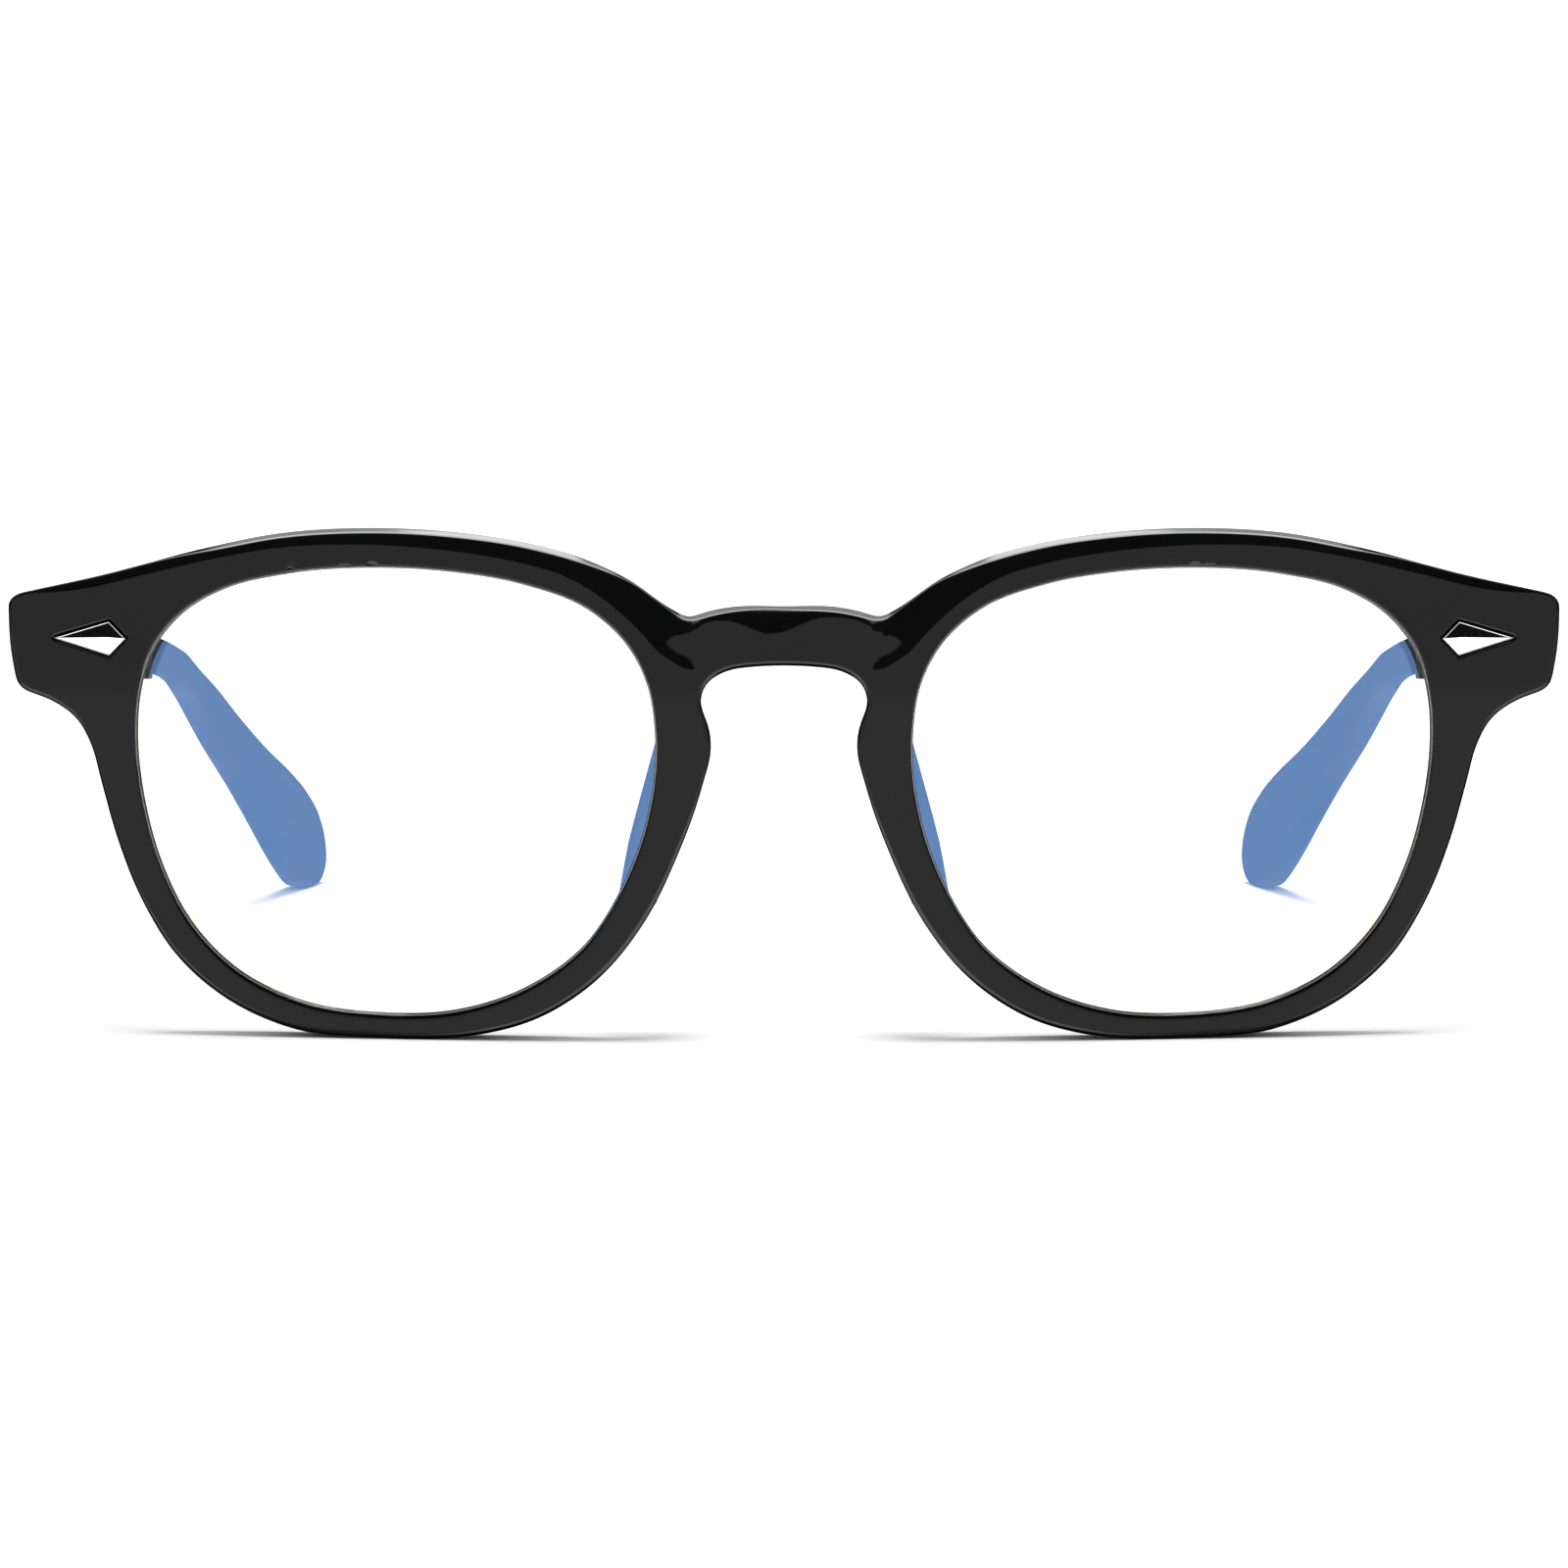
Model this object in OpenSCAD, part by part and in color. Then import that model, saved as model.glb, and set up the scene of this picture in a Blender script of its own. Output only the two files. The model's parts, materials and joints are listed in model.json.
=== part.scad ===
// Blue light glasses: black acetate full-rim frame with a keyhole bridge, coated clear lenses,
// kite-shaped rivet shields and riveted five-barrel hinges. Sizes are in millimetres.
//
// +Z is up, the front faces -Y, and the open temples reach back along +Y. X = 0 is the mirror
// plane, and "left" is the wearer's left, at +X. The origin is on the table, in the middle of
// the open glasses' footprint. Lists below use front coordinates: y = 0 is the bridge's face.

/* [Front] */
// Overall width of the front
front_w = 144.2; // [140:0.2:150]
// Overall height of the front
front_h = 47; // [46:0.5:48]
// Thickness of the acetate front
front_t = 4.2; // [4:0.1:4.6]
// Radius of the front's curved face
face_r = 300; // [260:10:360]

/* [Lenses] */
// Thickness of each lens
lens_t = 2; // [1.6:0.1:2.2]
// How far each lens edge reaches into the rim
lens_bite = 0.5; // [0.3:0.1:0.7]
// Distance from the front's face back to the lens's face
lens_inset = 1.25; // [0.9:0.05:1.3]

/* [Temples] */
// Distance from the bridge's face to the temple tips
overall_d = 150; // [146:1:154]
// Thickness of each temple at the hinge
temple_t = 4; // [3.6:0.1:4.4]
// Height of the flat wire core in each temple
core_h = 1.8; // [1.4:0.1:2.2]
// Thickness of the flat wire core
core_w = 1; // [0.8:0.1:1.2]

/* [Hinges] */
// Diameter of the hinge screw
screw_d = 1.4; // [1.2:0.1:1.5]
// Outside diameter of the hinge barrels
barrel_d = 2.9; // [2.6:0.1:3]
// Height of one barrel
barrel_h = 1.2; // [1:0.05:1.25]
// Thickness of the hinge leaves
leaf_t = 0.9; // [0.8:0.05:1]

/* [Rivets] */
// Diameter of the rivet pins
rivet_d = 1.2; // [1:0.1:1.3]
// Height of a rivet shield above the acetate
shield_proud = 0.5; // [0.3:0.05:0.7]

/* [Hidden] */

acetate = "#202124";
coated_lens = [0.45, 0.62, 0.85, 0.35];
bright_metal = "silver";
steel = "lightsteelblue";

LEFT = 1;
RIGHT = -1;

// The face is part of a sphere about this point, and so are the lenses and the frame's back.
face_c = [0, face_r, 24];
front_y = -overall_d / 2;

// Clearances
lens_gap = 0.1;
pin_gap = 0.05;
barrel_gap = 0.05;
butt_gap = 0.1;
turn_gap = 0.15;

// Half outlines [x, z] of the front, at its nominal width and height
nominal = [144.2, 47];
bridge_top = [[0, 39.9], [5.2, 39.8], [7.3, 39.35], [8.8, 38.8]];
brow = [
    [8.8, 38.8], [10.6, 39.8], [14.2, 42.3], [18, 44.1], [23.3, 45.6], [30, 46.6], [38.5, 47],
    [46.5, 46.5], [54, 45], [63, 42.65], [71.3, 40.85]
];
endpiece_end = [[72.1, 40.2], [71.9, 36], [71.3, 32.5]];
underside = [
    [70.7, 31.9], [67.8, 30.9], [65.6, 29.4], [64.2, 27], [63.3, 23.7], [61.7, 18], [59.5, 12.5],
    [56.2, 7.3], [51.6, 3.4], [45.2, 0.7], [37, 0], [29, 0.3], [22.5, 2.1], [17, 5.8],
    [12.8, 11], [9.6, 17.5], [7.5, 23.4], [6.6, 27.8], [6.9, 29.3], [7.6, 31.2], [7.2, 32.8],
    [5.4, 34.05], [2.7, 34.5], [0, 34.6]
];
lens_opening = [
    [37, 43.5], [46, 42.85], [51.5, 41.5], [55.5, 39.2], [58.3, 35.8], [59.6, 31.5],
    [59.85, 27.5], [59.2, 21.6], [57.6, 15.8], [54.6, 10.1], [50.5, 6.1], [45, 3.45],
    [37, 2.3], [30, 2.7], [23.8, 4.8], [18.3, 8.8], [14.9, 14], [12.8, 19.3], [11.75, 25],
    [11.75, 29], [12.4, 32.8], [14.3, 36.5], [17.9, 39.75], [24, 42.05], [30.5, 43.15]
];
curve_steps = 4;

// Hinge axis
hinge_x = front_w / 2 - 6.7;
hinge_z = 36;
axis_off = barrel_d / 2 + turn_gap;
hinge_y = back_y(hinge_x, hinge_z) + axis_off / cos(asin(hinge_x / face_r));
hinge_h = 5 * barrel_h + 4 * barrel_gap;
hinge_z0 = hinge_z - hinge_h / 2;
level_h = barrel_h + barrel_gap;

// Rivet shields: a kite seated in a recess, its long point outward
rivet_x = front_w / 2 - 9.8;
rivet_z = 36.8;
shield_kite = [[-1.65, 0], [0, 1.62], [5.55, 0], [0, -1.62]];
shield_gap = 0.12;
shield_depth = 0.5;
shield_wall = 0.15;
shield_top = [0.86, 0.8];
shield_peak = [0.1, 0.2];
key_pin_x = 2.6;
key_pin_d = 0.8;
key_pin_l = 0.7;
head_d = 2;
head_h = 0.4;

// Hinge leaves, each half sunk into a pocket: where the front leaf starts, and lengths and height
pocket_d = leaf_t / 2;
front_leaf_x = -2.9;
front_leaf_l = 8.2;
temple_leaf_l = 10;
temple_leaf_h = 4.6;
temple_slope = 5;
temple_rivet_y = 5.6;
temple_rivet_z = 35.6;

// Temple, left side, at the nominal overall depth: [y, x of its middle, thickness] from above
nominal_d = 150;
leaf_end_y = 24;
temple_in_x = hinge_x + axis_off;
temple_mid_x = temple_in_x + temple_t / 2;
temple_plan = [
    [11, temple_mid_x, temple_t], [27, temple_mid_x, temple_t],
    [38, temple_mid_x - 0.65, temple_t - 0.4], [52, temple_mid_x - 2, temple_t - 0.8],
    [66, temple_mid_x - 2.85, temple_t - 1.1], [80, temple_mid_x - 3.1, temple_t - 1.2],
    [91, temple_mid_x - 3.1, temple_t - 1.1], [102, temple_mid_x - 3.75, temple_t - 0.9],
    [112, temple_mid_x - 5, temple_t - 0.8], [125, temple_mid_x - 7.2, temple_t - 0.8],
    [138, temple_mid_x - 9.4, temple_t - 0.8], [151, temple_mid_x - 11.6, temple_t - 0.9]
];
// Temple edges [y, z] seen from the side
temple_top = [
    [11, 40.3], [24, 38.8], [40, 36.9], [60, 34.6], [76, 32.6], [87, 30.9], [95, 28.9],
    [103, 26.6], [113, 22.7], [124, 18.3], [135, 14.4], [142, 11.4], [147, 8.2], [149.5, 4.9],
    [149.8, 2.6], [147.9, 0.6], [144.5, 0]
];
temple_bottom = [
    [144.5, 0], [141, 0.4], [137, 2.2], [132, 5], [127, 8.1], [122, 11.2], [116, 14.8],
    [108, 18.9], [100, 22.8], [93, 25.6], [86, 27.6], [79, 28.9], [71, 29.9], [60, 30.7], [44, 31.5],
    [24, 32.1], [11, 32.4]
];
// Middle of the flat wire core [y, z], seen from the side; it keeps to the temple's middle above
core_side = [
    [16, 35.8], [28, 34.9], [53, 32.4], [78, 30.4], [90, 28.7], [101.5, 25.2], [113, 19.6],
    [127, 13], [140, 6.5]
];
core_y = [20.4, 136];
channel_y = [18.9, 136.1];

// Nose pad, left side: [x, y, z, radius] of the balls its skin is stretched over
nose_pad = [[9.9, 5.6, 24.6, 1.5], [13.4, 6.2, 13.2, 1.8], [12.8, 8.4, 18, 1.6], [10.9, 7.2, 27, 1]];

// ---- Curves

// Tangent of a smooth curve at its point i, in units of length
function tangent(p, i) =
    i == 0 ? (p[1] - p[0]) / norm(p[1] - p[0]) :
    i == len(p) - 1 ? (p[i] - p[i - 1]) / norm(p[i] - p[i - 1]) :
    let (a = norm(p[i] - p[i - 1]), b = norm(p[i + 1] - p[i]))
    ((p[i] - p[i - 1]) * b / a + (p[i + 1] - p[i]) * a / b) / (a + b);

// Hermite curve from point i of p to the next, without its end point
function span(p, i) =
    let (d = norm(p[i + 1] - p[i]), a = tangent(p, i) * d, b = tangent(p, i + 1) * d)
    [for (j = [0 : curve_steps - 1]) let (t = j / curve_steps)
        p[i] * (2 * t * t * t - 3 * t * t + 1) + a * (t * t * t - 2 * t * t + t)
        + p[i + 1] * (3 * t * t - 2 * t * t * t) + b * (t * t * t - t * t)];

// Smooth curve through all the points of p
function curve(p) = concat([for (i = [0 : len(p) - 2]) each span(p, i)], [p[len(p) - 1]]);

// Smooth closed curve through the points of p
function loop(p) =
    let (n = len(p), wrapped = concat([p[n - 1]], p, [p[0], p[1]]))
    [for (i = [1 : n]) each span(wrapped, i)];

function flip(p) = [for (i = [len(p) - 1 : -1 : 0]) [-p[i][0], p[i][1]]];
function tail(p) = [for (i = [1 : len(p) - 1]) p[i]];
function fitted(p) = [for (q = p) [q[0] * front_w / nominal[0], q[1] * front_h / nominal[1]]];

// Temple points with their y, past the hinge leaf, stretched to the overall depth
function reach(y) =
    y < leaf_end_y ? y : leaf_end_y + (y - leaf_end_y) * (overall_d - leaf_end_y) / (nominal_d - leaf_end_y);
function stretched(p) = [for (q = p) [for (i = [0 : len(q) - 1]) i == 0 ? reach(q[0]) : q[i]]];

// y on the sphere that lies d behind the face
function depth_y(x, z, d) = face_r - sqrt((face_r - d) ^ 2 - x * x - (z - face_c[2]) ^ 2);
function back_y(x, z) = depth_y(x, z, front_t);

// ---- Placing

// In front coordinates, on one side of the glasses
module placed(side) {
    translate([0, front_y, 0]) mirror([side == RIGHT ? 1 : 0, 0, 0]) children();
}

// A flat x-z outline made solid, right through the curved front
module through_front() {
    translate([0, 16, 0]) rotate([90, 0, 0]) linear_extrude(17) children();
}

// The ball whose surface lies d behind the face
module ball(d) {
    translate(face_c) sphere(r = face_r - d, $fn = 360);
}

// The curved layer from depth a to depth b
module layer(a, b) {
    difference() {
        ball(a);
        ball(b);
    }
}

// Rivet frame on the endpiece: local x outboard, y up, z out of the face
module at_rivet() {
    translate([rivet_x, depth_y(rivet_x, rivet_z, 0), rivet_z])
    rotate([0, 0, asin(rivet_x / face_r)]) rotate([90, 0, 0]) children();
}

// Rivet frame on the temple: local x back along the temple, y up, z out of its outer side
module at_temple_rivet() {
    translate([temple_in_x + temple_t, hinge_y + temple_rivet_y, temple_rivet_z])
    rotate([-temple_slope, 0, 0]) rotate([90, 0, 90]) children();
}

module at_hinge() {
    translate([hinge_x, hinge_y, hinge_z0]) children();
}

// ---- Front

module front_outline() {
    half_end = fitted(concat(curve(brow), curve(endpiece_end)));
    top = fitted(curve(concat(flip(tail(bridge_top)), bridge_top)));
    under = fitted(curve(concat(underside, flip([for (i = [0 : len(underside) - 2]) underside[i]]))));
    polygon(concat(top, tail(half_end), under, tail(flip(half_end))));
}

module lens_outline() {
    polygon(fitted(loop(lens_opening)));
}

module front_frame() {
    color(acetate) difference() {
        intersection() {
            placed(LEFT) through_front() front_outline();
            placed(LEFT) layer(0, front_t);
        }
        for (side = [LEFT, RIGHT]) placed(side) {
            through_front() lens_outline();
            intersection() {
                through_front() offset(delta = lens_bite + lens_gap) lens_outline();
                layer(lens_inset - lens_gap, lens_inset + lens_t + lens_gap);
            }
            at_rivet() rivet_seat();
            leaf_pocket();
        }
    }
}

// The flat pocket that seats the front hinge leaf in the endpiece's back
module leaf_pocket() {
    at_rivet() translate([front_leaf_x - turn_gap, hinge_z0 - rivet_z - turn_gap, -front_t - 4])
    cube([front_leaf_l + 3 * turn_gap, hinge_h + 2 * turn_gap, 4 + pocket_d]);
}

module lens(side) {
    color(coated_lens) placed(side) intersection() {
        through_front() offset(delta = lens_bite) lens_outline();
        layer(lens_inset, lens_inset + lens_t);
    }
}

module nose_pad(side) {
    color(acetate) placed(side) intersection() {
        hull() for (b = nose_pad) translate([b[0], b[1], b[2]]) sphere(r = b[3], $fn = 32);
        ball(front_t);
    }
}

// ---- Rivets

// A kite shield that fills its recess, with a low four-sided point
module shield() {
    base = [for (q = shield_kite) [q[0] * shield_top[0], q[1] * shield_top[1], shield_wall]];
    translate([0, 0, -shield_depth]) linear_extrude(shield_depth + shield_wall)
    offset(delta = -shield_gap) polygon(shield_kite);
    polyhedron(
        points = concat(base, [[0, 0, 0], [shield_peak[0], shield_peak[1], shield_proud]]),
        faces = [[0, 1, 5], [1, 2, 5], [2, 3, 5], [3, 0, 5], [1, 0, 4], [2, 1, 4], [3, 2, 4], [0, 3, 4]]
    );
}

// A shield, its pin through the acetate and the leaf to a peened head, and its short key pin
module rivet(acetate_t) {
    under_leaf = acetate_t - pocket_d + leaf_t;
    shield();
    translate([0, 0, -under_leaf - head_h / 2]) cylinder(d = rivet_d, h = under_leaf, $fn = 48);
    translate([0, 0, -under_leaf - head_h]) cylinder(d = head_d, h = head_h, $fn = 48);
    translate([key_pin_x, 0, -shield_depth - key_pin_l])
    cylinder(d = key_pin_d, h = key_pin_l + shield_wall, $fn = 48);
}

// The hole for a rivet's long pin
module rivet_bore() {
    translate([0, 0, -7]) cylinder(d = rivet_d + 2 * pin_gap, h = 9, $fn = 48);
}

// What a rivet needs cut out of the acetate
module rivet_seat() {
    translate([0, 0, -shield_depth]) linear_extrude(2) polygon(shield_kite);
    rivet_bore();
    translate([key_pin_x, 0, -shield_depth - key_pin_l - pin_gap])
    cylinder(d = key_pin_d + 2 * pin_gap, h = 3, $fn = 48);
}

module front_rivet(side) {
    color(bright_metal) placed(side) at_rivet() rivet(front_t);
}

module temple_rivet(side) {
    color(bright_metal) placed(side) at_temple_rivet() rivet(temple_t);
}

// ---- Hinges

// Barrels at the given levels, counted up from the lowest, before they are bored
module barrels(levels, d = barrel_d, extra = 0) {
    at_hinge() for (i = levels) translate([0, 0, i * level_h - extra])
    cylinder(d = d, h = barrel_h + 2 * extra, $fn = 64);
}

module screw_bore() {
    at_hinge() translate([0, 0, -1]) cylinder(d = screw_d + 2 * pin_gap, h = hinge_h + 2, $fn = 48);
}

module front_hinge_leaf(side) {
    color(steel) placed(side) difference() {
        union() {
            difference() {
                at_rivet() translate([front_leaf_x, hinge_z0 - rivet_z, -front_t + pocket_d - leaf_t])
                cube([front_leaf_l, hinge_h, leaf_t]);
                barrels([1, 3], barrel_d + 2 * turn_gap, barrel_gap);
            }
            barrels([0, 2, 4]);
        }
        screw_bore();
        at_rivet() rivet_bore();
    }
}

module temple_leaf_plate(grow = 0) {
    translate([temple_in_x + pocket_d - leaf_t, hinge_y, hinge_z]) rotate([-temple_slope, 0, 0])
    translate([0, -grow, -temple_leaf_h / 2 - grow])
    cube([leaf_t, temple_leaf_l + 2 * grow, temple_leaf_h + 2 * grow]);
}

module temple_hinge_leaf(side) {
    color(steel) placed(side) difference() {
        union() {
            difference() {
                temple_leaf_plate();
                barrels([0, 2, 4], barrel_d + 2 * turn_gap, barrel_gap);
            }
            barrels([1, 3]);
        }
        screw_bore();
        at_temple_rivet() rivet_bore();
    }
}

module hinge_screw(side) {
    head_r = 1.2;
    head_t = 0.7;
    slot_w = 0.4;
    color(bright_metal) placed(side) at_hinge() difference() {
        union() {
            translate([0, 0, -0.3]) cylinder(d = screw_d, h = hinge_h + 0.5, $fn = 48);
            translate([0, 0, hinge_h]) cylinder(r = head_r, h = head_t, $fn = 48);
        }
        translate([-2, -slot_w / 2, hinge_h + head_t / 2]) cube([4, slot_w, 1]);
    }
}

// ---- Temples

module temple_side_profile() {
    polygon(concat(curve(stretched(temple_top)), tail(curve(stretched(temple_bottom)))));
}

module temple_plan_profile() {
    mid = curve(stretched(temple_plan));
    outer = [for (q = mid) [q[1] + q[2] / 2, q[0]]];
    inner = [for (i = [len(mid) - 1 : -1 : 0]) [mid[i][1] - mid[i][2] / 2, mid[i][0]]];
    polygon(concat(outer, inner));
}

// A band of the given width along the points of p
function band(p, width) = concat(
    [for (q = p) [q[0], q[1] + width / 2]],
    [for (i = [len(p) - 1 : -1 : 0]) [p[i][0], p[i][1] - width / 2]]
);

// A flat y-z outline made solid across the left temple
module through_temple() {
    translate([40, 0, 0]) rotate([90, 0, 90]) linear_extrude(40) children();
}

// The flat wire core from y[0] to y[1], or with grow the channel it lies in
module core_wire(y, grow = 0) {
    from = reach(y[0]);
    intersection() {
        through_temple() polygon(band(curve(stretched(core_side)), core_h + 2 * grow));
        mirror([1, -1, 0]) linear_extrude(50)
        polygon(band(curve(stretched(temple_plan)), core_w + 2 * grow));
        translate([40, from, 0]) cube([40, reach(y[1]) - from, 50]);
    }
}

module temple(side) {
    color(acetate) placed(side) difference() {
        intersection() {
            through_temple() temple_side_profile();
            translate([0, 0, -1]) linear_extrude(50) temple_plan_profile();
            ball(front_t + butt_gap);
        }
        temple_leaf_plate(turn_gap);
        at_temple_rivet() rivet_seat();
        core_wire(channel_y, pin_gap);
    }
}

module temple_core(side) {
    color(steel) placed(side) core_wire(core_y);
}

front_frame();
lens(LEFT);  // lens_left
lens(RIGHT);  // lens_right
nose_pad(LEFT);  // nose_pad_left
nose_pad(RIGHT);  // nose_pad_right
front_rivet(LEFT);  // front_rivet_left
front_rivet(RIGHT);  // front_rivet_right
front_hinge_leaf(LEFT);  // front_hinge_leaf_left
front_hinge_leaf(RIGHT);  // front_hinge_leaf_right
hinge_screw(LEFT);  // hinge_screw_left
hinge_screw(RIGHT);  // hinge_screw_right
temple(LEFT);  // temple_left
temple(RIGHT);  // temple_right
temple_core(LEFT);  // temple_core_left
temple_core(RIGHT);  // temple_core_right
temple_hinge_leaf(LEFT);  // temple_hinge_leaf_left
temple_hinge_leaf(RIGHT);  // temple_hinge_leaf_right
temple_rivet(LEFT);  // temple_rivet_left
temple_rivet(RIGHT);  // temple_rivet_right
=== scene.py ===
"""Looks of the blue light glasses: black acetate front and temples, coated clear lenses,
bright kite rivets and steel hinges, on a plain white floor. Lists are in millimetres."""

import json
import math

import bmesh
import bpy
import numpy as np
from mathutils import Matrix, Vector
from mathutils.geometry import delaunay_2d_cdt

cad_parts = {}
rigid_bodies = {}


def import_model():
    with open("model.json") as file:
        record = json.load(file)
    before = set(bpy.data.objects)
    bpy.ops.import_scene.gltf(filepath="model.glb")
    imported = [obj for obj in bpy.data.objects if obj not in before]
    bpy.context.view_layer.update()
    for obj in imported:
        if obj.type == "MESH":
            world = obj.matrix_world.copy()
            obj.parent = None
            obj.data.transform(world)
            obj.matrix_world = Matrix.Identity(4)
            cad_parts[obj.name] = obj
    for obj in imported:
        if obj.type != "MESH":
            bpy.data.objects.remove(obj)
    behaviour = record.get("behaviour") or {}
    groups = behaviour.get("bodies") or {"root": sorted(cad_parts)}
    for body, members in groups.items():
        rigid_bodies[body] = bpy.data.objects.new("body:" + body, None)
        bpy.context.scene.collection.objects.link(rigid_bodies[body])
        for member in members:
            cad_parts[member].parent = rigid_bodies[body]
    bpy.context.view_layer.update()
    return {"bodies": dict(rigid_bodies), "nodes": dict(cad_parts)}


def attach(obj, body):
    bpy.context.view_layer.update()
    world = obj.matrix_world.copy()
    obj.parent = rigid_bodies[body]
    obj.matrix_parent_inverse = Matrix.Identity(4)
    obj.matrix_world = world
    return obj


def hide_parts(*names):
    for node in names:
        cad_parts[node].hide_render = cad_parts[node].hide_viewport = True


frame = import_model()
scene = bpy.context.scene

MM = 0.001
SIDES = {"left": 1, "right": -1}

# ---- The part's own sizes, as in part.scad

FRONT_Y = -75.0  # where the bridge's face is; depths and the lists below count from there
FACE_R, FACE_Z = 300.0, 24.0  # radius of the front's curved face and its centre's height
FRONT_T, LENS_T, LENS_INSET, LENS_BITE = 4.2, 2.0, 1.25, 0.5
LEAF_T, LEAF_RECESS = 0.9, 0.45
HINGE_Y = 13.41
TEMPLE_X, TEMPLE_T, BUTT_Y = 69.0, 4.0, 12.85  # a temple's middle, thickness and front end
RIVET_X, RIVET_Z = 62.3, 36.8
TEMPLE_RIVET_Y, TEMPLE_RIVET_Z, TEMPLE_SLOPE = HINGE_Y + 5.6, 35.6, 5.0
KITE = [(-1.65, 0), (0, 1.62), (5.55, 0), (0, -1.62)]
KITE_MIDDLE, KITE_INNER_R = np.array([0.407, 0]), 1.441  # the circle that fits in the kite

BRIDGE_TOP = [(0, 39.9), (5.2, 39.8), (7.3, 39.35), (8.8, 38.8)]
BROW = [
    (8.8, 38.8), (10.6, 39.8), (14.2, 42.3), (18, 44.1), (23.3, 45.6), (30, 46.6), (38.5, 47),
    (46.5, 46.5), (54, 45), (63, 42.65), (71.3, 40.85),
]
ENDPIECE = [(72.1, 40.2), (71.9, 36), (71.3, 32.5)]
UNDERSIDE = [
    (70.7, 31.9), (67.8, 30.9), (65.6, 29.4), (64.2, 27), (63.3, 23.7), (61.7, 18), (59.5, 12.5),
    (56.2, 7.3), (51.6, 3.4), (45.2, 0.7), (37, 0), (29, 0.3), (22.5, 2.1), (17, 5.8),
    (12.8, 11), (9.6, 17.5), (7.5, 23.4), (6.6, 27.8), (6.9, 29.3), (7.6, 31.2), (7.2, 32.8),
    (5.4, 34.05), (2.7, 34.5), (0, 34.6),
]
LENS_OPENING = [
    (37, 43.5), (46, 42.85), (51.5, 41.5), (55.5, 39.2), (58.3, 35.8), (59.6, 31.5),
    (59.85, 27.5), (59.2, 21.6), (57.6, 15.8), (54.6, 10.1), (50.5, 6.1), (45, 3.45),
    (37, 2.3), (30, 2.7), (23.8, 4.8), (18.3, 8.8), (14.9, 14), (12.8, 19.3), (11.75, 25),
    (11.75, 29), (12.4, 32.8), (14.3, 36.5), (17.9, 39.75), (24, 42.05), (30.5, 43.15),
]
# Temple from above [y, x of its middle, thickness], and its edges from the side [y, z]
TEMPLE_PLAN = [
    (11, 69, 4), (27, 69, 4), (38, 68.35, 3.6), (52, 67, 3.2), (66, 66.15, 2.9),
    (80, 65.9, 2.8), (91, 65.9, 2.9), (102, 65.25, 3.1), (112, 64, 3.2), (125, 61.8, 3.2),
    (138, 59.6, 3.2), (151, 57.4, 3.1),
]
TEMPLE_TOP = [
    (11, 40.3), (24, 38.8), (40, 36.9), (60, 34.6), (76, 32.6), (87, 30.9), (95, 28.9),
    (103, 26.6), (113, 22.7), (124, 18.3), (135, 14.4), (142, 11.4), (147, 8.2), (149.5, 4.9),
    (149.8, 2.6), (147.9, 0.6), (144.5, 0),
]
TEMPLE_BOTTOM = [
    (144.5, 0), (141, 0.4), (137, 2.2), (132, 5), (127, 8.1), (122, 11.2), (116, 14.8),
    (108, 18.9), (100, 22.8), (93, 25.6), (86, 27.6), (79, 28.9), (71, 29.9), (60, 30.7),
    (44, 31.5), (24, 32.1), (11, 32.4),
]
# Balls [x, y, z, radius] that the nose pad's skin is stretched over
NOSE_PAD = [
    (9.9, 5.6, 24.6, 1.5), (13.4, 6.2, 13.2, 1.8), (12.8, 8.4, 18, 1.6), (10.9, 7.2, 27, 1),
]
CURVE_STEPS = 8


# ---- Curves, as in part.scad


def tangent(p, i, closed):
    """Direction of the curve at point i, which leans to the nearer neighbour."""
    n = len(p)
    if not closed and i in (0, n - 1):
        d = p[1] - p[0] if i == 0 else p[i] - p[i - 1]
        return d / np.linalg.norm(d)
    before, after = p[i] - p[i - 1], p[(i + 1) % n] - p[i]
    a, b = np.linalg.norm(before), np.linalg.norm(after)
    return (before * b / a + after * a / b) / (a + b)


def curve(points, closed=False, steps=CURVE_STEPS):
    """Smooth curve through the points; a closed one doesn't repeat its first point."""
    p = [np.array(q, float) for q in points]
    out = []
    for i in range(len(p) if closed else len(p) - 1):
        q = p[(i + 1) % len(p)]
        d = np.linalg.norm(q - p[i])
        a, b = tangent(p, i, closed) * d, tangent(p, (i + 1) % len(p), closed) * d
        for t in np.arange(steps) / steps:
            out.append(
                p[i] * (2 * t**3 - 3 * t**2 + 1) + a * (t**3 - 2 * t**2 + t)
                + q * (3 * t**2 - 2 * t**3) + b * (t**3 - t**2)
            )
    if not closed:
        out.append(p[-1])
    return np.array(out)


def flipped(p):
    """The line mirrored to the other side, and still running the same way round."""
    return (np.array(p, float) * [-1, 1])[::-1]


def even(line, step, closed=True):
    """The line again, with its points about step apart."""
    if closed:
        line = np.vstack([line, line[:1]])
    s = np.concatenate([[0], np.cumsum(np.linalg.norm(np.diff(line, axis=0), axis=1))])
    at = np.linspace(0, s[-1], int(s[-1] / step), endpoint=not closed)
    return np.column_stack([np.interp(at, s, line[:, 0]), np.interp(at, s, line[:, 1])])


def rounded(line, radius, times=3):
    """The closed line with its corners eased, keeping to within about radius."""
    for _ in range(times):
        near = (np.roll(line, 1, axis=0) + np.roll(line, -1, axis=0)) / 2
        move = near - line
        size = np.linalg.norm(move, axis=1, keepdims=True)
        line = line + move * np.minimum(1, radius / np.maximum(size, 1e-9)) * 0.5
    return line


def area(line):
    """Area within a closed line, negative where it runs clockwise."""
    x, z = line.T
    return 0.5 * np.sum(x * np.roll(z, -1) - z * np.roll(x, -1))


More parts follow.
